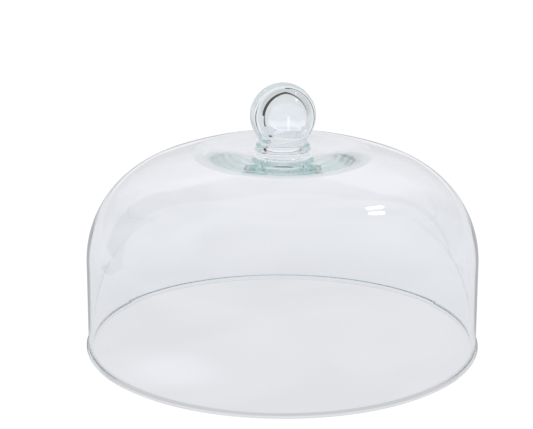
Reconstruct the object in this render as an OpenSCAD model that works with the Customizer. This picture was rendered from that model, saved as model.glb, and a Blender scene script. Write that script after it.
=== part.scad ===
// Clear blown-glass food cover: an upright-walled bell, a thick collar in its crown, a hollow knob.
// Millimetres. The cover stands on z = 0, on the ground seat of its rim, and +Z is its axis.

/* [Bell] */
// Outside diameter over the rim bead
rim_d = 285; // [250:1:320]
// Thickness of the blown wall
wall_t = 2.6; // [2:0.1:3.4]
// Diameter of the fire-polished bead rolled outwards along the rim
bead_d = 4.2; // [4:0.1:6]
// Depth ground off the bead to make its flat seat
seat_grind = 0.2; // [0.1:0.05:0.6]
// Radius of the cove where the bead runs into the wall
cove_r = 2.5; // [1:0.1:5]
// Height of the upright wall, from the seat to the start of the shoulder
wall_h = 66; // [40:1:100]
// Outside radius of the shoulder
shoulder_r = 73.4; // [60:0.2:84]
// Outside radius of the crown above the shoulder
crown_r = 255; // [235:1:400]
// Outside radius of the bend from the crown into its flat middle
crown_bend_r = 80; // [60:1:110]
// Radius of the flat middle of the crown
crown_flat_r = 45; // [34:0.5:50]

/* [Collar] */
// Radius at which the thick collar meets the blown wall
collar_r = 64; // [56:0.5:72]
// Thickness of the collar round the neck
collar_t = 6.2; // [4.5:0.1:9]
// Radius out to which the collar keeps its full thickness
collar_full_r = 24; // [22:0.5:32]
// Radius of the trumpet mouth where the bore opens under the collar
mouth_r = 10.5; // [6:0.5:11]
// How far the ring round the foot of the neck stands out past the neck's waist
ring_out = 2.35; // [1.5:0.05:3]
// Thickness of that ring, which is round
ring_t = 4.6; // [4:0.1:5]
// Height of the ring's widest point above the flat middle of the crown
ring_rise = 2.2; // [1.8:0.1:2.6]
// Radius of the small fillet between the ring and the crown
foot_r = 1; // [0.6:0.1:1.4]

/* [Knob] */
// Outside diameter of the neck at its waist, where the knob is joined to the collar
neck_d = 34.1; // [30:0.1:37]
// Height of the waist above the flat middle of the crown
waist_rise = 5.5; // [5:0.1:6.5]
// Outside diameter of the ball
ball_d = 46.6; // [42:0.2:52]
// Gap that a whole ball would leave above the flat middle of the crown
ball_clear = 1.2; // [0:0.1:3]
// Diameter of the bore through the collar and the neck
bore_d = 21; // [19:0.2:22]
// Diameter of the hollow in the ball, where it is widest
hollow_d = 30.4; // [26:0.2:33]
// How far that widest level lies below the ball's centre
hollow_drop = 1.5; // [0:0.1:3]
// How much more than half its width the hollow rises above that level
hollow_lift = 1; // [0.2:0.1:2]
// Radius of the top of the hollow
hollow_top_r = 11; // [8:0.5:13]
// Radius of the rounded lip between the hollow and the bore
lip_r = 17.5; // [10:0.5:18]

/* [Hidden] */

$fn = 192;
// Straight steps along each short arc and each long arc of an outline
short_steps = 12;
long_steps = 28;
// How far a cutter runs past the face that it opens
overcut = 1;

thin_glass = [0.90, 0.93, 0.95, 0.35];
thick_glass = [0.78, 0.91, 0.91, 0.5];

// Rim: the bead is flush with the inside of the wall and stands proud outside
bead_r = bead_d / 2;
inner_r = rim_d / 2 - bead_d;
wall_r = inner_r + wall_t;
bead_c = [inner_r + bead_r, bead_r - seat_grind];
seat_a = asin(bead_c.y / bead_r);
cove_dx = wall_r + cove_r - bead_c.x;
cove_c = [wall_r + cove_r, bead_c.y + sqrt(pow(bead_r + cove_r, 2) - pow(cove_dx, 2))];
cove_a = atan2(cove_c.y - bead_c.y, cove_dx);

// Shoulder, crown and bend, each tangent to the next
shoulder_c = [wall_r - shoulder_r, wall_h];
crown_cz = wall_h - sqrt(pow(crown_r - shoulder_r, 2) - pow(shoulder_c.x, 2));
shoulder_a = atan2(wall_h - crown_cz, shoulder_c.x);
bend_cz = crown_cz + sqrt(pow(crown_r - crown_bend_r, 2) - pow(crown_flat_r, 2));
bend_a = atan2(bend_cz - crown_cz, crown_flat_r);
crown_z = bend_cz + crown_bend_r;

// Foot of the neck: a small fillet, a round ring and a short hollow curve up to the waist
neck_r = neck_d / 2;
waist_z = crown_z + waist_rise;
ring_r = ring_t / 2;
ring_c = [neck_r + ring_out - ring_r, crown_z + ring_rise];
foot_c = ring_c + [sqrt(pow(ring_r + foot_r, 2) - pow(ring_rise - foot_r, 2)), foot_r - ring_rise];
foot_a = atan2(foot_c.y - ring_c.y, foot_c.x - ring_c.x);
under_dx = neck_r - ring_c.x;
under_r = (pow(under_dx, 2) + pow(waist_z - ring_c.y, 2) - pow(ring_r, 2)) / (2 * ring_out);
under_c = [neck_r + under_r, waist_z];
ring_a = atan2(under_c.y - ring_c.y, under_c.x - ring_c.x);

// Neck above its waist: one hollow curve runs on into the ball
ball_r = ball_d / 2;
ball_z = crown_z + ball_clear + ball_r;
fillet_r = (pow(neck_r, 2) + pow(ball_z - waist_z, 2) - pow(ball_r, 2)) / (2 * (ball_r - neck_r));
fillet_c = [neck_r + fillet_r, waist_z];
ball_a = atan2(waist_z - ball_z, fillet_c.x);

// Bore and hollow: a trumpet mouth, a short bore, a rounded lip and an egg-shaped hollow
bore_r = bore_d / 2;
under_z = crown_z - collar_t;
mouth_c = [bore_r + mouth_r, under_z + mouth_r];
hollow_r = hollow_d / 2;
hollow_z = ball_z - hollow_drop;
top_dx = hollow_r - hollow_top_r;
top_c = [0, hollow_z + top_dx + hollow_lift];
side_c = [-(pow(top_dx + hollow_lift, 2) - pow(top_dx, 2)) / (2 * top_dx), hollow_z];
side_r = hollow_r - side_c.x;
top_a = atan2(top_c.y - side_c.y, -side_c.x);
lip_dx = bore_r + lip_r - side_c.x;
lip_c = [bore_r + lip_r, hollow_z - sqrt(pow(side_r + lip_r, 2) - pow(lip_dx, 2))];
lip_a = atan2(hollow_z - lip_c.y, lip_dx);

// Points of an arc about c, from angle a0 to angle a1
function arc(c, r, a0, a1, steps) =
    [for (i = [0:steps]) c + r * [cos(a0 + (a1 - a0) * i / steps), sin(a0 + (a1 - a0) * i / steps)]];

// All the points of an outline but its first, which the stretch before it already holds
function rest(points) = [for (i = [1:len(points) - 1]) points[i]];

// Points of an outline in the other direction
function back(points) = [for (i = [len(points) - 1:-1:0]) points[i]];

// Evenly spaced radii from r0 to r1
function radii(r0, r1, steps) = [for (i = [0:steps]) r0 + (r1 - r0) * i / steps];

// Height, at radius r, of the crown's skin that lies depth below its outside
function crown_skin(r, depth) =
    r <= crown_flat_r ? crown_z - depth
    : r <= (crown_r - depth) * cos(bend_a)
        ? bend_cz + sqrt(pow(crown_bend_r - depth, 2) - pow(r - crown_flat_r, 2))
        : crown_cz + sqrt(pow(crown_r - depth, 2) - pow(r, 2));

// Share of the collar's extra thickness at radius r: none at its edge, all of it round the neck
function collar_share(r) =
    let (u = min(1, max(0, (collar_r - r) / (collar_r - collar_full_r))))
    (u + (1 - cos(180 * u)) / 2) / 2;

// Height of the collar's underside at radius r
function collar_under(r) = crown_skin(r, wall_t) - (collar_t - wall_t) * collar_share(r);

// Skin of the bell from the top of its wall to the collar, depth below its outside
function bell_skin(depth) =
    let (shoulder = arc(shoulder_c, shoulder_r - depth, 0, shoulder_a, long_steps))
    let (crown_radii = radii(shoulder[long_steps].x, collar_r, long_steps))
    concat(shoulder, [for (r = rest(crown_radii)) [r, crown_skin(r, depth)]]);

// Outline of the bell: bead, cove, wall, shoulder and crown, out and back
module bell_outline() {
    bead_outside = arc(bead_c, bead_r, -seat_a, cove_a, short_steps);
    cove = arc(cove_c, cove_r, 180 + cove_a, 180, short_steps);
    bead_inside = arc(bead_c, bead_r, 180, 180 + seat_a, short_steps);
    polygon(concat(bead_outside, rest(cove), bell_skin(0), back(bell_skin(wall_t)), bead_inside));
}

// Outline of the collar before it is bored: the flat crown, the foot of the neck and the underside
module collar_outline() {
    top = [for (r = radii(collar_r, crown_flat_r, short_steps)) [r, crown_skin(r, 0)]];
    foot = arc(foot_c, foot_r, 270, 180 + foot_a, short_steps);
    ring = arc(ring_c, ring_r, foot_a, ring_a, short_steps);
    to_waist = arc(under_c, under_r, 180 + ring_a, 180, short_steps);
    underside = [for (r = radii(collar_full_r, collar_r, long_steps)) [r, collar_under(r)]];
    polygon(concat(top, foot, rest(ring), rest(to_waist), [[0, waist_z], [0, under_z]], underside));
}

// Outline of the knob before it is hollowed: the upper half of the neck and the ball
module knob_outline() {
    neck = arc(fillet_c, fillet_r, 180, 180 + ball_a, short_steps);
    ball = arc([0, ball_z], ball_r, ball_a, 90, long_steps);
    polygon(concat([[0, waist_z]], neck, rest(ball)));
}

// Outline of the space inside the collar, the neck and the ball
module hollow_outline() {
    mouth = arc(mouth_c, mouth_r, 270, 180, short_steps);
    lip = arc(lip_c, lip_r, 180, 180 - lip_a, short_steps);
    side = arc(side_c, side_r, -lip_a, top_a, long_steps);
    top = arc(top_c, hollow_top_r, top_a, 90, short_steps);
    polygon(concat([[0, under_z - overcut], [mouth_c.x, under_z - overcut]], mouth, lip, rest(side), rest(top)));
}

// Blown bell, with its rim bead
module bell() {
    color(thin_glass)
        rotate_extrude()
            bell_outline();
}

// Gather of thick glass in the crown, with the ring and the foot of the neck
module collar() {
    color(thick_glass)
        rotate_extrude()
            difference() {
                collar_outline();
                hollow_outline();
            }
}

// Hollow ball with the upper half of the neck
module knob() {
    color(thick_glass)
        rotate_extrude()
            difference() {
                knob_outline();
                hollow_outline();
            }
}

bell();
collar();
knob();
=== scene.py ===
"""Clear blown-glass food cover: a beaded bell, a thick collar and a hollow bulb knob on a studio table."""

from __future__ import annotations

import logging
import math
from dataclasses import dataclass, field
from enum import Enum
from typing import Any

import bpy
from mathutils import Matrix, Vector

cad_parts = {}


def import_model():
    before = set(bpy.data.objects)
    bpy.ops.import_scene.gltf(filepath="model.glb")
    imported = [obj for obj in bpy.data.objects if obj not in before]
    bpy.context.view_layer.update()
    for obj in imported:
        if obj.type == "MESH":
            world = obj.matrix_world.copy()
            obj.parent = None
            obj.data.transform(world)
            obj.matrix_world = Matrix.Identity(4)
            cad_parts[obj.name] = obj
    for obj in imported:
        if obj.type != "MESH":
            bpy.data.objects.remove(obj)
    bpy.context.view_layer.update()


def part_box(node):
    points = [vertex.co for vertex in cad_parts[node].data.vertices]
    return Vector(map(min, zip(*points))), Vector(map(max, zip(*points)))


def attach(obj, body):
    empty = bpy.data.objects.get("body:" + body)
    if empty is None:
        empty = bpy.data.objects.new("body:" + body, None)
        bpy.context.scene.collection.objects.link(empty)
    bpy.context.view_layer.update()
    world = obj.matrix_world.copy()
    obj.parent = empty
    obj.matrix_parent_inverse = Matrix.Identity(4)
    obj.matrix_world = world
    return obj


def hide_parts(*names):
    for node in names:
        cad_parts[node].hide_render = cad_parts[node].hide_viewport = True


LOG = logging.getLogger("food_cover")
MM = 0.001
BODY = "root"
SEAM = "seam"
QUARTER = math.pi / 2
# Least number that a shader divides by
LEAST = 1e-6

Point = tuple[float, float]
Colour = tuple[float, float, float]
# Where a smooth step starts and where it ends
Ramp = tuple[float, float]
# Where a band starts, where it is full from, where it is full to and where it ends
Band = tuple[float, float, float, float]

# Steps between a count of one and of two, and between a count of three and of four
PAST_ONE: Ramp = (1.2, 1.8)
PAST_THREE: Ramp = (3.2, 3.8)


class Slot(Enum):
    """The record's material slots."""

    THIN = "thin_glass"
    THICK = "thick_glass"


class Steps(Enum):
    """Straight steps along an arc of an outline, by how far the arc runs."""

    GUARD = 1
    SHORT = 16
    MIDDLE = 28
    LONG = 48
    BALL = 96


@dataclass(frozen=True)
class Arc:
    """Stretch of an outline that turns about a centre, anticlockwise where the turn is positive."""

    centre: Point
    turn: float
    steps: Steps

    def draw(self, at: Point) -> Point:
        """Spins the selected point along the arc.

        Args:
            at: Where the point is.

        Returns:
            Where the arc ends.
        """
        bpy.ops.mesh.spin(
            steps=self.steps.value,
            angle=self.turn,
            center=(self.centre[0], 0, self.centre[1]),
            axis=(0, 1, 0),
        )
        r = at[0] - self.centre[0]
        z = at[1] - self.centre[1]
        cosine = math.cos(self.turn)
        sine = math.sin(self.turn)
        return (self.centre[0] + r * cosine - z * sine, self.centre[1] + r * sine + z * cosine)


@dataclass(frozen=True)
class Chain:
    """Stretch of an outline that runs straight from point to point."""

    points: tuple[Point, ...]

    def draw(self, at: Point) -> Point:
        """Extrudes the selected point through the chain.

        Args:
            at: Where the point is.

        Returns:
            The last point of the chain.
        """
        for point in self.points:
            step = (point[0] - at[0], 0, point[1] - at[1])
            bpy.ops.mesh.extrude_region_move(TRANSFORM_OT_translate={"value": step})
            at = point
        return at


Stroke = Arc | Chain


def spread(first: float, last: float, steps: int) -> list[float]:
    """Evenly spaced values.

    Args:
        first: The first value.
        last: The last value.
        steps: How many steps lie between them.

    Returns:
        The values, both ends included.
    """
    return [first + (last - first) * i / steps for i in range(steps + 1)]


@dataclass(frozen=True)
class CoverSizes:
    """Sizes of the cover in metres, and the centres and angles that follow from them."""

    rim_r: float
    wall: float = 2.6 * MM
    bead_r: float = 2.1 * MM
    seat_grind: float = 0.2 * MM
    cove_r: float = 2.5 * MM
    wall_h: float = 66.0 * MM
    shoulder_r: float = 73.4 * MM
    crown_r: float = 255.0 * MM
    bend_r: float = 80.0 * MM
    flat_r: float = 45.0 * MM
    collar_r: float = 64.0 * MM
    collar_t: float = 6.2 * MM
    collar_full_r: float = 24.0 * MM
    mouth_r: float = 10.5 * MM
    foot_r: float = 1.0 * MM
    ring_r: float = 19.4 * MM
    ring_bead: float = 2.3 * MM
    ring_rise: float = 2.2 * MM
    waist_r: float = 17.05 * MM
    waist_rise: float = 5.5 * MM
    ball_r: float = 23.3 * MM
    ball_rise: float = 24.5 * MM
    bore_r: float = 10.5 * MM
    lip_r: float = 17.5 * MM
    hollow_r: float = 15.2 * MM
    hollow_drop: float = 1.5 * MM
    hollow_h: float = 16.2 * MM
    hollow_top_r: float = 11.0 * MM

    @property
    def inner_r(self) -> float:
        """Inside radius of the upright wall."""
        return self.rim_r - 2 * self.bead_r

    @property
    def wall_r(self) -> float:
        """Outside radius of the upright wall."""
        return self.inner_r + self.wall

    @property
    def bead_c(self) -> Point:
        """Centre of the rim bead."""
        return (self.inner_r + self.bead_r, self.bead_r - self.seat_grind)

    @property
    def seat_a(self) -> float:
        """Angle from the bead's middle down to its ground seat."""
        return math.asin(self.bead_c[1] / self.bead_r)

    @property
    def cove_c(self) -> Point:
        """Centre of the cove between the bead and the wall.

        Returns:
            Its distance from the axis and its height.
        """
        across = self.wall_r + self.cove_r - self.bead_c[0]
        rise = math.sqrt((self.bead_r + self.cove_r) ** 2 - across**2)
        return (self.wall_r + self.cove_r, self.bead_c[1] + rise)

    @property
    def cove_a(self) -> float:
        """Angle at which the bead runs into the cove."""
        return math.atan2(self.cove_c[1] - self.bead_c[1], self.cove_c[0] - self.bead_c[0])

    @property
    def shoulder_c(self) -> Point:
        """Centre of the shoulder's arc."""
        return (self.wall_r - self.shoulder_r, self.wall_h)

    @property
    def crown_c(self) -> Point:
        """Centre of the crown's arc."""
        drop = math.sqrt((self.crown_r - self.shoulder_r) ** 2 - self.shoulder_c[0] ** 2)
        return (0.0, self.wall_h - drop)

    @property
    def shoulder_a(self) -> float:
        """Angle at which the shoulder runs into the crown."""
        return math.atan2(self.wall_h - self.crown_c[1], self.shoulder_c[0])

    @property
    def bend_c(self) -> Point:
        """Centre of the bend into the flat middle."""
        return (self.flat_r, self.crown_c[1] + math.sqrt((self.crown_r - self.bend_r) ** 2 - self.flat_r**2))

    @property
    def bend_a(self) -> float:
        """Angle at which the crown runs into that bend."""
        return math.atan2(self.bend_c[1] - self.crown_c[1], self.flat_r)

    @property
    def crown_z(self) -> float:
        """Height of the flat middle of the crown."""
        return self.bend_c[1] + self.bend_r

    @property
    def under_z(self) -> float:
        """Height of the collar's underside round the neck."""
        return self.crown_z - self.collar_t

    @property
    def ring_c(self) -> Point:
        """Centre of the ring of glass round the foot of the neck."""
        return (self.ring_r - self.ring_bead, self.crown_z + self.ring_rise)

    @property
    def foot_c(self) -> Point:
        """Centre of the small fillet between that ring and the crown.

        Returns:
            Its distance from the axis and its height.
        """
        reach = self.ring_bead + self.foot_r
        across = math.sqrt(reach**2 - (self.ring_rise - self.foot_r) ** 2)
        return (self.ring_c[0] + across, self.crown_z + self.foot_r)

    @property
    def waist_z(self) -> float:
        """Height of the neck's waist, where the knob is joined to the collar."""
        return self.crown_z + self.waist_rise

    @property
    def under_waist_r(self) -> float:
        """Radius of the hollow of the neck between its waist and the ring.

        Returns:
            The radius in metres.
        """
        across = self.waist_r - self.ring_c[0]
        rise = self.waist_rise - self.ring_rise
        return (across**2 + rise**2 - self.ring_bead**2) / (2 * (self.ring_bead - across))

    @property
    def under_waist_c(self) -> Point:
        """Centre of that hollow."""
        return (self.waist_r + self.under_waist_r, self.waist_z)

    @property
    def ball_c(self) -> Point:
        """Centre of the ball."""
        return (0.0, self.crown_z + self.ball_rise)

    @property
    def neck_c(self) -> Point:
        """Centre of the neck's hollow between its waist and the ball.

        Returns:
            Its distance from the axis and its height.
        """
        rise = self.ball_rise - self.waist_rise
        radius = (self.waist_r**2 + rise**2 - self.ball_r**2) / (2 * (self.ball_r - self.waist_r))
        return (self.waist_r + radius, self.waist_z)

    @property
    def ball_a(self) -> float:
        """Angle at which the neck runs into the ball."""
        return math.atan2(self.waist_z - self.ball_c[1], self.neck_c[0])

    @property
    def mouth_c(self) -> Point:
        """Centre of the bore's trumpet mouth under the collar."""
        return (self.bore_r + self.mouth_r, self.under_z + self.mouth_r)

    @property
    def hollow_z(self) -> float:
        """Height at which the hollow in the ball is widest."""
        return self.ball_c[1] - self.hollow_drop

    @property
    def hollow_side_c(self) -> Point:
        """Centre of the hollow's side, which lies beyond the axis.

        Returns:
            Its distance from the axis and its height.
        """
        rise = self.hollow_h - self.hollow_top_r
        across = self.hollow_r - self.hollow_top_r
        return (-(rise**2 - across**2) / (2 * across), self.hollow_z)

    @property
    def hollow_top_c(self) -> Point:
        """Centre of the hollow's round top."""
        return (0.0, self.hollow_z + self.hollow_h - self.hollow_top_r)

    @property
    def lip_c(self) -> Point:
        """Centre of the round lip between the bore and the hollow's side.

        Returns:
            Its distance from the axis and its height.
        """
        reach = self.hollow_r - self.hollow_side_c[0] + self.lip_r
        across = self.bore_r + self.lip_r - self.hollow_side_c[0]
        return (self.bore_r + self.lip_r, self.hollow_z - math.sqrt(reach**2 - across**2))

    def bend_turn(self, r: float, depth: float) -> float:
        """Angle on the bend, depth below its outside, at a distance r from the axis."""
        return math.acos((r - self.flat_r) / (self.bend_r - depth))

    def collar_under(self, r: float) -> float:
        """Height of the collar's underside, which thickens smoothly towards the neck.

        Args:
            r: Distance from the axis.

        Returns:
            The height there.
        """
        skin = self.crown_z - self.wall
        if r > self.flat_r:
            skin = self.bend_c[1] + math.sqrt((self.bend_r - self.wall) ** 2 - (r - self.flat_r) ** 2)
        share = min(1.0, max(0.0, (self.collar_r - r) / (self.collar_r - self.collar_full_r)))
        eased = (share + (1 - math.cos(math.pi * share)) / 2) / 2
        return skin - (self.collar_t - self.wall) * eased


def bearing(start: Point, end: Point) -> float:
    """Angle of the line from one point to another."""
    return math.atan2(end[1] - start[1], end[0] - start[0])


def sines(angles: Ramp) -> Ramp:
    """Sines of two angles in degrees."""
    first, last = angles
    return (math.sin(math.radians(first)), math.sin(math.radians(last)))


def cosines(angles: Ramp) -> Ramp:
    """Cosines of two angles in degrees."""
    first, last = angles
    return (math.cos(math.radians(first)), math.cos(math.radians(last)))


class Wire:
    """A shader value that takes part in Python arithmetic."""

    def __init__(self, sheet: NodeSheet, socket: bpy.types.NodeSocket) -> None:
        """Keeps the output socket and the sheet that it is on."""
        self.sheet = sheet
        self.socket = socket

    def __add__(self, other: Wire | float) -> Wire:
        """This value plus another."""
        return self.sheet.maths("ADD", self, other)

    def __sub__(self, other: Wire | float) -> Wire:
        """This value less another."""
        return self.sheet.maths("SUBTRACT", self, other)

    def __rsub__(self, other: float) -> Wire:
        """A number less this value."""
        return self.sheet.maths("SUBTRACT", other, self)

    def __mul__(self, other: Wire | float) -> Wire:
        """This value times another."""
        return self.sheet.maths("MULTIPLY", self, other)

    def __truediv__(self, other: Wire | float) -> Wire:
        """This value divided by another."""
        return self.sheet.maths("DIVIDE", self, other)

    def __rtruediv__(self, other: float) -> Wire:
        """A number divided by this value."""
        return self.sheet.maths("DIVIDE", other, self)

    __radd__ = __add__
    __rmul__ = __mul__

    def size(self) -> Wire:
        """This value without its sign."""
        return self.sheet.maths("ABSOLUTE", self)

    def root(self) -> Wire:
        """The square root of this value."""
        return self.sheet.maths("SQRT", self)

    def larger(self, other: Wire | float) -> Wire:
        """The larger of this value and another."""
        return self.sheet.maths("MAXIMUM", self, other)

    def smaller(self, other: Wire | float) -> Wire:
        """The smaller of this value and another."""
        return self.sheet.maths("MINIMUM", self, other)

    def rises(self, low: float, high: float) -> Wire:
        """A smooth step over this value.

        Args:
            low: The value up to which the step is 0.
            high: The value from which it is 1.

        Returns:
            The step.
        """
        return self.sheet.add(
            "ShaderNodeMapRange",
            {"interpolation_type": "SMOOTHSTEP"},
            {"Value": self, "From Min": low, "From Max": high},
        )

    def within(self, start: float, full: float, last: float, end: float) -> Wire:
        """1 between full and last, and a smooth step down to 0 at start and at end."""
        return self.rises(start, full) * (1 - self.rises(last, end))

    def blend(self, low: Wire | Colour, high: Wire | Colour) -> Wire:
        """Mixes two colours by this value.

        Args:
            low: The colour where this value is 0.
            high: The colour where it is 1.

        Returns:
            The mixed colour.
        """
        ends = [end if isinstance(end, Wire) else (*end, 1.0) for end in (low, high)]
        return self.sheet.add(
            "ShaderNodeMix",
            {"data_type": "RGBA"},
            {"Factor": self, 6: ends[0], 7: ends[1]},
            output=2,
        )


class NodeSheet:
    """The node tree of one material or world, filled one node at a time."""

    def __init__(self, tree: bpy.types.NodeTree) -> None:
        """Empties the tree."""
        self.tree = tree
        tree.nodes.clear()

    def add(
        self,
        kind: str,
        settings: dict[str, Any] | None = None,
        values: dict[str | int, Any] | None = None,
        output: str | int = 0,
    ) -> Wire:
        """Adds a node.

        Args:
            kind: The node's type.
            settings: Its own settings, which are set first.
            values: The values or links of its input sockets.
            output: Which of its outputs is wanted.

        Returns:
            That output, or the first input of a node that has no outputs.
        """
        node = self.tree.nodes.new(kind)
        for name, value in (settings or {}).items():
            setattr(node, name, value)
        for name, value in (values or {}).items():
            if isinstance(value, Wire):
                self.tree.links.new(value.socket, node.inputs[name])
            else:
                node.inputs[name].default_value = value
        return Wire(self, node.outputs[output] if node.outputs else node.inputs[0])

    def maths(self, operation: str, *terms: Wire | float) -> Wire:
        """A Math node on values and numbers."""
        return self.add("ShaderNodeMath", {"operation": operation}, dict(enumerate(terms)))

    def ray(self, output: str) -> Wire:
        """A fact about the ray that sees the surface."""
        return self.add("ShaderNodeLightPath", output=output)

    def inner_ray(self) -> Wire:
        """1 for a ray that left the glass after it was thrown back inside it."""
        return self.ray("Is Transmission Ray") * self.ray("Glossy Depth").smaller(1.0)

    def few_ray(self) -> Wire:
        """1 for such a ray that went through three skins of glass at most."""
        return self.inner_ray() * (1 - self.ray("Transmission Depth").rises(*PAST_THREE))

    def once_ray(self) -> Wire:
        """1 for such a ray that went through three skins at most and was thrown back once."""
        return self.few_ray() * (1 - self.ray("Glossy Depth").rises(*PAST_ONE))

    def mirror_ray(self) -> Wire:
        """1 for a ray that was thrown back by the outside of the glass."""
        return self.ray("Is Reflection Ray") * (1 - self.ray("Transmission Depth").smaller(1.0))


@dataclass(frozen=True)
class Noise:
    """A cloudy texture: how fine it is, how much finer its details go, how rough they are and its warp."""

    scale: float
    detail: float
    roughness: float = 0.5
    distortion: float = 0.0

    def lay(self, sheet: NodeSheet, place: Wire) -> Wire:
        """Adds the texture.

        Args:
            sheet: The node sheet that it goes on.
            place: The point at which it is read.

        Returns:
            Its value at that point, from 0 to 1.
        """
        return sheet.add(
            "ShaderNodeTexNoise",
            values={
                "Vector": place,
                "Scale": self.scale,
                "Detail": self.detail,
                "Roughness": self.roughness,
                "Distortion": self.distortion,
            },
        )


@dataclass(frozen=True)
class BlownGlass:
    """Clear soda-lime glass, tinted in its depth, with the slow waves that blowing leaves.

    The waves, the mist and the film on the skin follow Object coordinates, which all the pieces share, so
    they run on over the hot joints between the pieces.
    """

    slot: Slot
    clear: Colour = (0.962, 0.967, 0.976)
    misted: Colour = (0.938, 0.947, 0.958)
    depth_colour: Colour = (0.45, 0.86, 0.84)
    depth_density: float = 2.6
    index: float = 1.5
    waves: Noise = Noise(16.0, 1.0, 0.4)
    wave_stretch: float = 0.45
    wave_height: float = 0.05 * MM
    wave_strength: float = 0.35
    wave_mist: float = 0.35
    cords: Noise = Noise(90.0, 2.0)
    cord_share: float = 0.08
    smears: Noise = Noise(34.0, 4.0, 0.6, 0.6)
    smear_range: Ramp = (0.55, 0.8)
    smear_mist: float = 0.25
    film: float = 0.012

    def material(self) -> bpy.types.Material:
        """Makes the glass.

        Returns:
            Its material.
        """
        made = bpy.data.materials.new(self.slot.value)
        made.use_nodes = True
        sheet = NodeSheet(made.node_tree)
        place = sheet.add("ShaderNodeTexCoord", output="Object")
        stretch = (1.0, 1.0, self.wave_stretch)
        drawn = sheet.add("ShaderNodeMapping", values={"Vector": place, "Scale": stretch})
        waves = self.waves.lay(sheet, drawn)
        cords = self.cords.lay(sheet, drawn)
        smears = self.smears.lay(sheet, place).rises(*self.smear_range)
        mist = waves * self.wave_mist + smears * self.smear_mist
        skin = sheet.add(
            "ShaderNodeBump",
            values={
                "Strength": self.wave_strength,
                "Distance": self.wave_height,
                "Height": waves + cords * self.cord_share,
            },
        )
        seam = sheet.add("ShaderNodeAttribute", {"attribute_name": SEAM}, output="Fac")
        surface = sheet.add(
            "ShaderNodeBsdfPrincipled",
            values={
                "Base Color": mist.blend(self.clear, self.misted),
                "Roughness": smears * self.film,
                "IOR": self.index,
                "Transmission Weight": 1.0,
                "Alpha": 1.0 - seam,
                "Normal": skin,
            },
        )
        depth = sheet.add(
            "ShaderNodeVolumeAbsorption",
            values={"Color": (*self.depth_colour, 1.0), "Density": self.depth_density},
        )
        sheet.add("ShaderNodeOutputMaterial", values={"Surface": surface, "Volume": depth})
        return made


@dataclass(frozen=True)
class Lathe:
    """Turns an outline of radius and height into one closed, smooth piece of glass."""

    steps: int = 256
    merge: float = 1e-3 * MM
    sharp: float = math.radians(20)

    def turn(self, name: str, start: Point, strokes: list[Stroke]) -> bpy.types.Object:
        """Draws the outline in edit mode and spins it round the axis.

        Args:
            name: Name of the new piece.
            start: First point of the outline, as distance from the axis and height.
            strokes: The outline's stretches, which end at its first point or on the axis.

        Returns:
            The piece, at the origin, with its normals outwards.
        """
        bpy.ops.object.select_all(action="DESELECT")
        bpy.ops.mesh.primitive_circle_add(vertices=3, radius=MM, location=(0, 0, 0))
        piece = bpy.context.active_object
        piece.name = piece.data.name = name
        bpy.ops.object.mode_set(mode="EDIT")
        bpy.ops.mesh.select_all(action="SELECT")
        bpy.ops.mesh.merge(type="CENTER")
        bpy.ops.transform.translate(value=(start[0], 0, start[1]))
        at = start
        for stroke in strokes:
            at = stroke.draw(at)
        self._close()
        bpy.ops.mesh.spin(steps=self.steps, angle=math.tau, center=(0, 0, 0), axis=(0, 0, 1))
        self._close()
        bpy.ops.mesh.normals_make_consistent(inside=False)
        bpy.ops.object.mode_set(mode="OBJECT")
        bpy.ops.object.shade_smooth_by_angle(angle=self.sharp)
        return piece

    def _close(self) -> None:
        """Merges the points that meet, with everything selected before and after."""
        bpy.ops.mesh.select_all(action="SELECT")
        bpy.ops.mesh.remove_doubles(threshold=self.merge)
        bpy.ops.mesh.select_all(action="SELECT")


@dataclass
class GlassPart:
    """One of the three gathers of glass that the cover is made from."""

    sizes: CoverSizes
    finish: BlownGlass
    lathe: Lathe = field(default_factory=Lathe)
    joint_gap: float = 0.01 * MM
    guard: float = 0.3 * MM
    # Most that an upright face's normal rises, and least that a level face's does
    upright: float = 0.5
    level: float = 0.9
    name: str = ""

    def outline(self) -> tuple[Point, list[Stroke]]:
        """First point and stretches of the part's outline."""
        raise NotImplementedError

    def at_joint(self, centre: Vector, normal: Vector) -> bool:
        """Whether a face with that centre and normal lies in a hot joint with another part."""
        raise NotImplementedError

    def build(self) -> bpy.types.Object:
        """Turns the part, marks its joints and dresses it.

        Returns:
            The finished piece, which stands for the solid of the same name.
        """
        piece = self.lathe.turn(f"{self.name}_glass", *self.outline())
        self.shape(piece)
        marks = [float(self.at_joint(face.center, face.normal)) for face in piece.data.polygons]
        piece.data.attributes.new(SEAM, "FLOAT", "FACE").data.foreach_set("value", marks)
        piece.data.materials.append(self.finish.material())
        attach(piece, BODY)
        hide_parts(self.name)
        LOG.info("%s: %d faces, %d in joints", piece.name, len(marks), int(sum(marks)))
        return piece

    def shape(self, piece: bpy.types.Object) -> None:
        """Works on the turned piece. Most parts are left as they were turned."""

    def by_collar_edge(self, centre: Vector, normal: Vector) -> bool:
        """Whether an upright face lies where the bell and the collar meet."""
        away = abs(math.hypot(centre.x, centre.y) - self.sizes.collar_r)
        return away < self.guard / 2 and abs(normal.z) < self.upright

    def by_waist(self, centre: Vector, normal: Vector) -> bool:
        """Whether a level face lies where the collar and the knob meet."""
        away = abs(centre.z - self.sizes.waist_z)
        return away < self.joint_gap * 2 and abs(normal.z) > self.level


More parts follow.
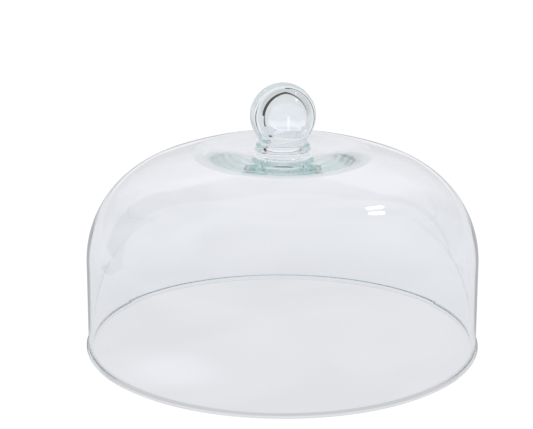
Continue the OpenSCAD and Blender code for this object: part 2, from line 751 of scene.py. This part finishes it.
@dataclass
class Bell(GlassPart):
    """Blown bell with its upright wall, round shoulder, shallow crown and rolled rim bead."""

    name: str = "bell"
    wall_steps: int = 8
    wall_ends: float = 1.2 * MM

    def outline(self) -> tuple[Point, list[Stroke]]:
        """Bead, cove, wall, shoulder and crown, out and back.

        Returns:
            The first point, as distance from the axis and height, and the stretches.
        """
        s = self.sizes
        start = (s.bead_c[0] + s.bead_r * math.cos(s.seat_a), 0.0)
        edge = s.collar_r + self.joint_gap
        outer = s.bend_turn(edge, 0.0)
        inner = s.bend_turn(edge, s.wall)
        outer_guard = self.guard / s.bend_r
        inner_z = s.bend_c[1] + (s.bend_r - s.wall) * math.sin(inner)
        return start, [
            Arc(s.bead_c, s.seat_a + s.cove_a, Steps.MIDDLE),
            Arc(s.cove_c, -s.cove_a, Steps.SHORT),
            self._wall(s.wall_r, s.cove_c[1])[0],
            Arc(s.shoulder_c, s.shoulder_a, Steps.LONG),
            Arc(s.crown_c, s.bend_a - s.shoulder_a, Steps.LONG),
            Arc(s.bend_c, outer - s.bend_a - outer_guard, Steps.SHORT),
            Arc(s.bend_c, outer_guard, Steps.GUARD),
            Chain(((edge, inner_z),)),
            Arc(s.bend_c, -outer_guard, Steps.GUARD),
            Arc(s.bend_c, s.bend_a - inner + outer_guard, Steps.SHORT),
            Arc(s.crown_c, s.shoulder_a - s.bend_a, Steps.LONG),
            Arc(s.shoulder_c, -s.shoulder_a, Steps.LONG),
            self._wall(s.inner_r, s.bead_c[1])[1],
            Arc(s.bead_c, s.seat_a, Steps.SHORT),
            Chain((start,)),
        ]

    def _wall(self, r: float, foot: float) -> tuple[Chain, Chain]:
        """Steps of the upright wall, close together at its ends.

        Args:
            r: Distance of the skin from the axis.
            foot: Height at which the skin starts.

        Returns:
            The skin upwards, and the skin downwards.
        """
        top = self.sizes.wall_h
        heights = [foot, foot + self.guard]
        heights += spread(foot + self.wall_ends, top - self.wall_ends, self.wall_steps)
        heights += [top - self.guard, top]
        points = [(r, z) for z in heights]
        return Chain(tuple(points[1:])), Chain(tuple(points[-2::-1]))

    def at_joint(self, centre: Vector, normal: Vector) -> bool:
        """Whether a face lies in the joint with the collar."""
        return self.by_collar_edge(centre, normal)


@dataclass
class Collar(GlassPart):
    """Gather of thick glass in the crown, with the ring and the foot of the neck."""

    name: str = "collar"
    flat_steps: int = 8

    def outline(self) -> tuple[Point, list[Stroke]]:
        """Crown, foot, ring, joint with the knob, bore, mouth and underside.

        Returns:
            The first point, as distance from the axis and height, and the stretches.
        """
        s = self.sizes
        edge = s.collar_r - self.joint_gap
        start_a = s.bend_turn(edge, 0.0)
        start = (edge, s.bend_c[1] + s.bend_r * math.sin(start_a))
        outer_guard = self.guard / s.bend_r
        flat = spread(s.flat_r - self.guard, s.foot_c[0] + self.guard, self.flat_steps) + [s.foot_c[0]]
        foot_a = bearing(s.ring_c, s.foot_c)
        ring_a = bearing(s.ring_c, s.under_waist_c)
        waist = s.waist_z - self.joint_gap
        short_of = math.asin(self.joint_gap / s.under_waist_r)
        bore = [(s.bore_r, z) for z in (waist, waist - self.guard, s.mouth_c[1])]
        under = spread(s.mouth_c[0] + self.guard, edge - self.guard, Steps.LONG.value) + [edge]
        return start, [
            Arc(s.bend_c, outer_guard, Steps.GUARD),
            Arc(s.bend_c, QUARTER - start_a - outer_guard, Steps.MIDDLE),
            Chain(tuple((r, s.crown_z) for r in flat)),
            Arc(s.foot_c, foot_a - QUARTER, Steps.SHORT),
            Arc(s.ring_c, ring_a - foot_a, Steps.LONG),
            Arc(s.under_waist_c, short_of - ring_a, Steps.MIDDLE),
            Chain(tuple(bore)),
            Arc(s.mouth_c, QUARTER, Steps.MIDDLE),
            Chain(tuple((r, s.collar_under(r)) for r in under)),
            Chain((start,)),
        ]

    def at_joint(self, centre: Vector, normal: Vector) -> bool:
        """Whether a face lies in the joint with the bell or with the knob."""
        return self.by_collar_edge(centre, normal) or self.by_waist(centre, normal)


@dataclass
class Knob(GlassPart):
    """Hollow bulb with the upper half of the neck. Its hollow sits a little to one side, as blown."""

    name: str = "knob"
    hollow_aside: float = 1.55 * MM
    aside_over: float = 6.0 * MM
    least_wall: float = 3.0 * MM

    def outline(self) -> tuple[Point, list[Stroke]]:
        """Ball, neck, joint with the collar, bore, lip and hollow, from pole to pole.

        Returns:
            The first point, as distance from the axis and height, and the stretches.
        """
        s = self.sizes
        start = (0.0, s.ball_c[1] + s.ball_r)
        waist = s.waist_z + self.joint_gap
        short_of = math.asin(self.joint_gap / (s.neck_c[0] - s.waist_r))
        lip_a = bearing(s.hollow_side_c, s.lip_c)
        top_a = bearing(s.hollow_side_c, s.hollow_top_c)
        return start, [
            Arc(s.ball_c, s.ball_a - QUARTER, Steps.BALL),
            Arc(s.neck_c, -s.ball_a - short_of, Steps.LONG),
            Chain(((s.bore_r, waist), (s.bore_r, s.lip_c[1]))),
            Arc(s.lip_c, lip_a, Steps.MIDDLE),
            Arc(s.hollow_side_c, top_a - lip_a, Steps.BALL),
            Arc(s.hollow_top_c, QUARTER - top_a, Steps.MIDDLE),
        ]

    def at_joint(self, centre: Vector, normal: Vector) -> bool:
        """Whether a face lies in the joint with the collar."""
        return self.by_waist(centre, normal)

    def shape(self, piece: bpy.types.Object) -> None:
        """Slides the hollow aside, with a smooth step in the bore under it.

        Args:
            piece: The turned knob.
        """
        centre = Vector((0.0, 0.0, self.sizes.ball_c[1]))
        low = self.sizes.waist_z + self.guard
        for point in piece.data.vertices:
            if point.co.z > low and (point.co - centre).length < self.sizes.ball_r - self.least_wall:
                share = min(1.0, (point.co.z - low) / self.aside_over)
                point.co.x += self.hollow_aside * share * share * (3 - 2 * share)


@dataclass(frozen=True)
class PhotoCamera:
    """The camera at the photograph's place, with the photograph's angle of view."""

    place: tuple[float, float, float] = (0.0, -1.3258, 0.5125)
    pitch: float = 0.30324
    yaw: float = -0.0087
    roll: float = 0.0015
    focal: float = 130.78
    sensor: float = 36.0

    def build(self) -> bpy.types.Object:
        """Makes the camera and gives it to the scene.

        Returns:
            The camera.
        """
        bpy.ops.object.camera_add(location=self.place)
        camera = bpy.context.active_object
        camera.name = "photo_camera"
        turn = Matrix.Rotation(-self.yaw, 3, "Z") @ Matrix.Rotation(QUARTER - self.pitch, 3, "X")
        turn = turn @ Matrix.Rotation(self.roll, 3, "Z")
        camera.rotation_euler = turn.to_euler()
        camera.data.sensor_width = self.sensor
        camera.data.lens = self.focal
        bpy.context.scene.camera = camera
        return camera


@dataclass(frozen=True)
class Lamp:
    """A soft lamp, placed by its bearing and height as seen from the cover.

    The bearing is measured from the camera's side, in degrees, positive to the right.
    """

    name: str
    bearing: float
    height: float
    width: float
    depth: float
    glow: float
    distance: float = 1.8

    def build(self, aim: Vector) -> bpy.types.Object:
        """Hangs the lamp so that it faces a point.

        Args:
            aim: The point that it faces.

        Returns:
            The lamp.
        """
        turn = math.radians(self.bearing)
        height = math.radians(self.height)
        level = math.cos(height)
        toward = Vector((math.sin(turn) * level, -math.cos(turn) * level, math.sin(height)))
        bpy.ops.object.light_add(type="AREA", location=aim + toward * self.distance)
        lamp = bpy.context.active_object
        lamp.name = lamp.data.name = self.name
        lamp.rotation_euler = toward.to_track_quat("Z", "Y").to_euler()
        lamp.data.shape = "RECTANGLE"
        lamp.data.size = self.width
        lamp.data.size_y = self.depth
        lamp.data.energy = self.glow * math.pi * self.width * self.depth
        return lamp


@dataclass(frozen=True)
class Heading:
    """The way that a ray goes out into the room, as shader values: right, back and up."""

    x: Wire
    y: Wire
    z: Wire

    @classmethod
    def of(cls, sheet: NodeSheet) -> Heading:
        """Reads the way of the ray.

        Args:
            sheet: The world's node sheet.

        Returns:
            The way.
        """
        toward = sheet.add("ShaderNodeTexCoord", output="Generated")
        return cls(*(sheet.add("ShaderNodeSeparateXYZ", values={0: toward}, output=axis) for axis in "XYZ"))


@dataclass(frozen=True)
class TableSpot:
    """A point on the table, as shader values that say where it lies from the cover's axis, in metres."""

    place: Wire
    away: Wire
    across: Wire
    along: Wire

    @classmethod
    def on(cls, sheet: NodeSheet) -> TableSpot:
        """Reads the point that a ray meets.

        Args:
            sheet: The table's node sheet.

        Returns:
            The point.
        """
        place = sheet.add("ShaderNodeTexCoord", output="Object")
        away = sheet.add("ShaderNodeVectorMath", {"operation": "LENGTH"}, {0: place}, output="Value")
        across = sheet.add("ShaderNodeSeparateXYZ", values={0: place}, output="X")
        along = sheet.add("ShaderNodeSeparateXYZ", values={0: place}, output="Y")
        return cls(place, away, across, along)

    def aside(self) -> Wire:
        """Distance to the left or to the right of the axis."""
        return self.across.size()

    def turn(self) -> Wire:
        """Distance to the right over the distance back."""
        return self.across / self.along.larger(LEAST)


@dataclass(frozen=True)
class DarkLane:
    """Dark lane straight back from the cover, which light that was thrown back once in the glass sees.

    It runs over the table and a little way up the room, and such light is dimmed beside it too. A turn is
    the distance to the right over the distance back, and the lane's top is in degrees above the table.
    """

    turn: Band = (-0.12, -0.095, 0.075, 0.1)
    side: Ramp = (-0.03, 0.01)
    start: Ramp = (0.72, 0.85)
    far: Ramp = (1.2, 1.9)
    front: Ramp = (0.0, 0.05)
    top: Ramp = (3.0, 6.0)
    tone: float = 0.08
    dim: float = 0.08

    def on_table(self, sheet: NodeSheet, spot: TableSpot) -> Wire:
        """How dark the lane makes a point of the table.

        Args:
            sheet: The table's node sheet.
            spot: The point.

        Returns:
            0 where the table is pale and 1 where it is dark.
        """
        turn = spot.turn()
        lane = turn.within(*self.turn) * spot.along.rises(*self.start)
        lane = lane * (1 - spot.along.rises(*self.far) * turn.rises(*self.side))
        return lane.larger(self.dim) * sheet.once_ray()

    def in_room(self, sheet: NodeSheet, way: Heading) -> Wire:
        """How far the lane covers the room.

        Args:
            sheet: The world's node sheet.
            way: The way that the ray goes.

        Returns:
            1 in the lane and 0 beside it.
        """
        turn = way.x / way.y.larger(LEAST)
        lane = turn.within(*self.turn) * way.y.rises(*self.front) * (1 - way.z.rises(*sines(self.top)))
        return lane * (1 - turn.rises(*self.side)) * sheet.once_ray()


@dataclass(frozen=True)
class TableTonesAndPaintedLight:
    """Table tones and painted light, as the glass shows them: paler behind the cover, palest through the
    crown.

    A painted pool of light lies inside the cover at the left, and a thin painted highlight streak behind the
    knob. A turn is the distance to the right over the distance back.
    """

    near: Colour = (0.82, 0.825, 0.853)
    # Painted light: the table is paler behind the cover
    far: Colour = (0.92, 0.925, 0.96)
    far_away: Ramp = (0.12, 0.3)
    far_half: Ramp = (0.1, 0.18)
    far_spread: float = 0.35
    # Painted light: brighter than white where the crown sees the table
    crown: Colour = (1.04, 1.035, 1.075)
    crown_along: Band = (0.33, 0.47, 0.66, 0.84)
    crown_turn: Ramp = (0.4, 0.6)
    # Painted highlight: a bright streak that shows in the knob
    streak: Colour = (1.12, 1.12, 1.14)
    streak_turn: Band = (-0.058, -0.048, -0.022, -0.012)
    streak_along: Band = (0.66, 0.7, 0.9, 1.0)
    # Painted pool of light inside the cover, where focused light would fall
    pool: tuple[float, float, float] = (-0.075, -0.056, 0.0)
    pool_away: Ramp = (0.008, 0.045)
    pool_share: float = 0.7

    def colour(self, sheet: NodeSheet, spot: TableSpot) -> Wire:
        """Mixes the tones.

        Args:
            sheet: The table's node sheet.
            spot: The point on the table.

        Returns:
            The table's colour there.
        """
        to_pool = sheet.add(
            "ShaderNodeVectorMath", {"operation": "DISTANCE"}, {0: spot.place, 1: self.pool}, output="Value"
        )
        pool = (1 - to_pool.rises(*self.pool_away)) * self.pool_share
        beside = (spot.aside() - spot.along * self.far_spread).rises(*self.far_half)
        far = spot.away.rises(*self.far_away) * (1 - beside)
        turn = spot.turn()
        painted_crown_light = spot.along.within(*self.crown_along) * (1 - turn.size().rises(*self.crown_turn))
        streak = turn.within(*self.streak_turn) * spot.along.within(*self.streak_along)
        tone = far.larger(pool).blend(self.near, self.far)
        return streak.blend(painted_crown_light.blend(tone, self.crown), self.streak)


@dataclass(frozen=True)
class TableMottleAndPaintedShades:
    """Painted shade: dark places on the table, most of which only light that the glass throws back can see.

    In the glass they show as painted dark lines and shade. A wedge runs back on either side of the cover.
    Behind it lie a short strip and a broad band up to the horizon, round it a ring, far out on either side a
    sector, and under the front of its rim a painted contact shadow. A faint mottle varies the tone at
    random.
    Each share is how dark the place is, from 0 to 1.
    """

    wedge_half: Ramp = (0.14, 0.155)
    wedge_spread: float = 0.48
    wedge_inner: Ramp = (0.11, 0.13)
    wedge_start: Ramp = (-0.02, 0.03)
    near_end: Ramp = (0.38, 0.46)
    near_share: float = 0.6
    outline_end: Ramp = (0.6, 0.8)
    outline_share: float = 0.45
    horizon_along: Band = (0.45, 0.55, 1.0, 1.8)
    horizon_turn: Ramp = (0.4, 0.6)
    horizon_share: float = 0.55
    strip_along: Band = (0.4, 0.46, 0.6, 0.68)
    strip_half: Ramp = (0.04, 0.08)
    # Painted contact shadow: a dark line on the table under the front of the rim
    contact_shadow_away: Band = (0.134, 0.1362, 0.141, 0.1425)
    contact_shadow_end: Ramp = (-0.08, 0.0)
    contact_shadow_share: float = 0.27
    ring_away: Band = (0.13, 0.15, 0.16, 0.19)
    ring_share: float = 0.14
    sector_back: Band = (0.2, 0.24, 0.38, 0.42)
    sector_away: Ramp = (0.42, 0.46)
    sector_right: Ramp = (-0.01, 0.01)
    right_share: float = 0.4
    mottle: Noise = Noise(8.0, 1.0, distortion=1.0)
    mottle_range: Ramp = (0.35, 0.7)
    mottle_share: float = 0.05

    def darkness(self, sheet: NodeSheet, spot: TableSpot) -> Wire:
        """Lays the dark places over each other.

        Args:
            sheet: The table's node sheet.
            spot: The point on the table.

        Returns:
            0 where the table is pale and 1 where it is dark.
        """
        inner = sheet.inner_ray()
        mirror = sheet.mirror_ray()
        aside = spot.aside()
        wedge = 1 - (aside - spot.along * self.wedge_spread).rises(*self.wedge_half)
        wedge = wedge * aside.rises(*self.wedge_inner) * spot.along.rises(*self.wedge_start)
        near = wedge * (1 - spot.along.rises(*self.near_end)) * sheet.few_ray() * self.near_share
        outline = wedge * (1 - spot.along.rises(*self.outline_end)) * mirror * self.outline_share
        ahead = 1 - spot.turn().size().rises(*self.horizon_turn)
        horizon = spot.along.within(*self.horizon_along) * ahead * mirror * self.horizon_share
        strip = spot.along.within(*self.strip_along) * (1 - aside.rises(*self.strip_half))
        strip = strip * inner * (1 - sheet.once_ray())
        ring = spot.away.within(*self.ring_away) * inner * self.ring_share
        sector = (spot.along / spot.away.larger(LEAST)).within(*self.sector_back)
        sector = sector * spot.away.rises(*self.sector_away) * inner
        sector = sector * (1 - spot.across.rises(*self.sector_right) * (1 - self.right_share))
        # Painted contact shadow under the front of the rim
        foot = spot.away.within(*self.contact_shadow_away) * (1 - spot.along.rises(*self.contact_shadow_end)) * self.contact_shadow_share
        dark = self.mottle.lay(sheet, spot.place).rises(*self.mottle_range) * self.mottle_share
        for shade in (near, outline, horizon, strip, ring, sector, foot):
            dark = dark.larger(shade)
        return dark


@dataclass(frozen=True)
class StudioTable:
    """Pale table: white to the camera, with painted light and shade that only the glass shows, and the
    cover's shadow on it.
    """

    tones: TableTonesAndPaintedLight = TableTonesAndPaintedLight()
    shades: TableMottleAndPaintedShades = TableMottleAndPaintedShades()
    dark_tone: Colour = (0.08, 0.085, 0.095)
    size: float = 60.0
    white: float = 0.965
    shadow_share: float = 0.12

    def build(self, lane: DarkLane) -> None:
        """Lays the table.

        Args:
            lane: The dark lane behind the cover.
        """
        bpy.ops.object.select_all(action="DESELECT")
        bpy.ops.mesh.primitive_plane_add(size=self.size, location=(0, 0, 0))
        table = bpy.context.active_object
        table.name = "table"
        made = bpy.data.materials.new("pale_table")
        made.use_nodes = True
        sheet = NodeSheet(made.node_tree)
        spot = TableSpot.on(sheet)
        dark = self.shades.darkness(sheet, spot).larger(lane.on_table(sheet, spot))
        # Painted light and shade, seen only by rays that come through or off the glass
        tone = dark.blend(self.tones.colour(sheet, spot), self.dark_tone)
        pale = sheet.add("ShaderNodeEmission", values={"Color": tone})
        matt = sheet.add("ShaderNodeBsdfDiffuse", values={"Color": (*self.tones.near, 1.0)})
        strength = self.white / (1 - self.shadow_share)
        white = sheet.add("ShaderNodeEmission", values={"Strength": strength})
        shaded = sheet.add("ShaderNodeMixShader", values={0: self.shadow_share, 1: white, 2: matt})
        in_glass = sheet.ray("Is Glossy Ray").larger(sheet.ray("Is Transmission Ray"))
        glass_side = sheet.add("ShaderNodeMixShader", values={0: in_glass, 1: matt, 2: pale})
        seen = sheet.ray("Is Camera Ray")
        surface = sheet.add("ShaderNodeMixShader", values={0: seen, 1: glass_side, 2: shaded})
        sheet.add("ShaderNodeOutputMaterial", values={"Surface": surface})
        table.data.materials.append(made)


@dataclass(frozen=True)
class StudioRoom:
    """Light room: white to the camera, with a bright sweep behind the cover and a soft glow in front.

    The glow is a painted reflection, which only the outside of the glass mirrors, and light that comes
    straight through the glass sees painted extra light behind the cover. Light that was thrown back inside
    the glass also sees a painted dark arch over the sweep, and what went a longer way inside it is dimmed
    far to the left and to the right. Bearings, heights, widths and the arch's fall are in degrees.
    """

    level: float = 0.83
    sweep: float = 0.9
    sweep_bearing: float = -10.5
    sweep_half: Ramp = (45.5, 39.5)
    sweep_top: Ramp = (42.0, 46.0)
    low: Ramp = (4.0, 9.0)
    painted_through_light: float = 0.15
    # Painted reflection: a soft glow in front that only the outside of the glass mirrors
    glow: float = 0.6
    glow_bearing: float = -28.0
    glow_height: float = 43.0
    glow_width: Ramp = (26.0, 6.0)
    arch: float = 0.04
    arch_fall: float = 17.4
    arch_lean: float = 0.065
    arch_start: Ramp = (0.30, 0.34)
    arch_end: Ramp = (0.475, 0.505)
    arch_thick: float = 0.15
    arch_half: Ramp = (0.45, 0.62)
    end_start: Ramp = (0.68, 0.85)
    left_dim: float = 0.36
    right_dim: float = 0.12

    def build(self, lane: DarkLane) -> None:
        """Fills the world.

        Args:
            lane: The dark lane behind the cover.
        """
        world = bpy.data.worlds.new("studio")
        bpy.context.scene.world = world
        world.use_nodes = True
        sheet = NodeSheet(world.node_tree)
        way = Heading.of(sheet)
        inner = sheet.inner_ray()
        once = sheet.once_ray()
        middle = math.radians(self.sweep_bearing)
        level_reach = (way.x * way.x + way.y * way.y).root().larger(LEAST)
        facing = (way.x * math.sin(middle) + way.y * math.cos(middle)) / level_reach
        behind = facing.rises(*cosines(self.sweep_half))
        bright = behind * (1 - way.z.rises(*sines(self.sweep_top)))
        bright = bright.larger(1 - way.z.rises(*sines(self.low)))
        plain = bright * (self.sweep - self.level) + self.level + self.painted_glow_reflection(sheet, way) * self.glow
        through = sheet.ray("Is Transmission Ray") * (1 - inner) * behind
        right = way.x.rises(*self.end_start) * self.right_dim
        left = (0 - way.x).rises(*self.end_start) * self.left_dim
        dim = once * lane.dim + inner * (1 - once) * (right + left)
        # Painted light: a ray that comes straight through the glass sees the room lighter behind the cover
        level = plain * (1 - dim) + through * self.painted_through_light
        level = level + lane.in_room(sheet, way) * (lane.tone - level)
        level = level + self.dark_arch(way, inner, once) * (self.arch - level)
        seen = sheet.ray("Is Camera Ray")
        sky = sheet.add("ShaderNodeBackground", values={"Strength": seen * (1 - level) + level})
        sheet.add("ShaderNodeOutputWorld", values={"Surface": sky})

    def painted_glow_reflection(self, sheet: NodeSheet, way: Heading) -> Wire:
        """The soft glow in front, a painted reflection which only the outside of the glass mirrors.

        Args:
            sheet: The world's node sheet.
            way: The way that the ray goes.

        Returns:
            1 in the middle of the glow and 0 outside it.
        """
        turn = math.radians(self.glow_bearing)
        height = math.radians(self.glow_height)
        level_share = math.cos(height)
        near = way.x * (math.sin(turn) * level_share) - way.y * (math.cos(turn) * level_share)
        near = near + way.z * math.sin(height)
        return near.rises(*cosines(self.glow_width)) * sheet.mirror_ray()

    def dark_arch(self, way: Heading, inner: Wire, once: Wire) -> Wire:
        """The dark arch, which thickens to the left for light that was thrown back once.

        Args:
            way: The way that the ray goes.
            inner: Whether the ray was thrown back inside the glass.
            once: Whether that happened once.

        Returns:
            1 in the arch and 0 outside it.
        """
        fall = math.radians(self.arch_fall)
        arch = way.y * math.cos(fall) - way.z * math.sin(fall) - way.x * self.arch_lean
        leaning = arch + way.x * once * self.arch_thick
        dark = inner * arch.rises(*self.arch_start) * (1 - leaning.rises(*self.arch_end))
        return dark * (1 - (1 - once) * way.x.size().rises(*self.arch_half))


@dataclass
class Studio:
    """The stage round the cover: a pale table, a light room and two window panes that the glass mirrors."""

    table: StudioTable = StudioTable()
    room: StudioRoom = StudioRoom()
    lane: DarkLane = DarkLane()
    aim: Vector = field(default_factory=lambda: Vector((0.0, 0.0, 0.1)))
    lamps: tuple[Lamp, ...] = (
        Lamp("upper_pane", 131.2, 52.9, 0.085, 0.22, 5.0),
        Lamp("lower_pane", 120.7, 53.9, 0.085, 0.22, 5.0),
    )

    def build(self) -> None:
        """Sets the stage, with light paths long enough for thick glass."""
        self.table.build(self.lane)
        self.room.build(self.lane)
        for lamp in self.lamps:
            lamp.build(self.aim)
        scene = bpy.context.scene
        scene.view_settings.view_transform = "Standard"
        scene.cycles.max_bounces = 96
        scene.cycles.transmission_bounces = 48
        scene.cycles.glossy_bounces = 64
        scene.cycles.transparent_max_bounces = 64


def main() -> None:
    """Builds the cover in its frame, with the stage round it."""
    logging.basicConfig(level=logging.INFO, format="%(name)s: %(message)s")
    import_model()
    PhotoCamera().build()
    Studio().build()
    sizes = CoverSizes(rim_r=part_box("bell")[1].x)
    thin = BlownGlass(Slot.THIN)
    thick = BlownGlass(Slot.THICK)
    bulb = BlownGlass(Slot.THICK, depth_density=4.0)
    for part in (Bell(sizes, thin), Collar(sizes, thick), Knob(sizes, bulb)):
        part.build()


if __name__ == "__main__":
    main()
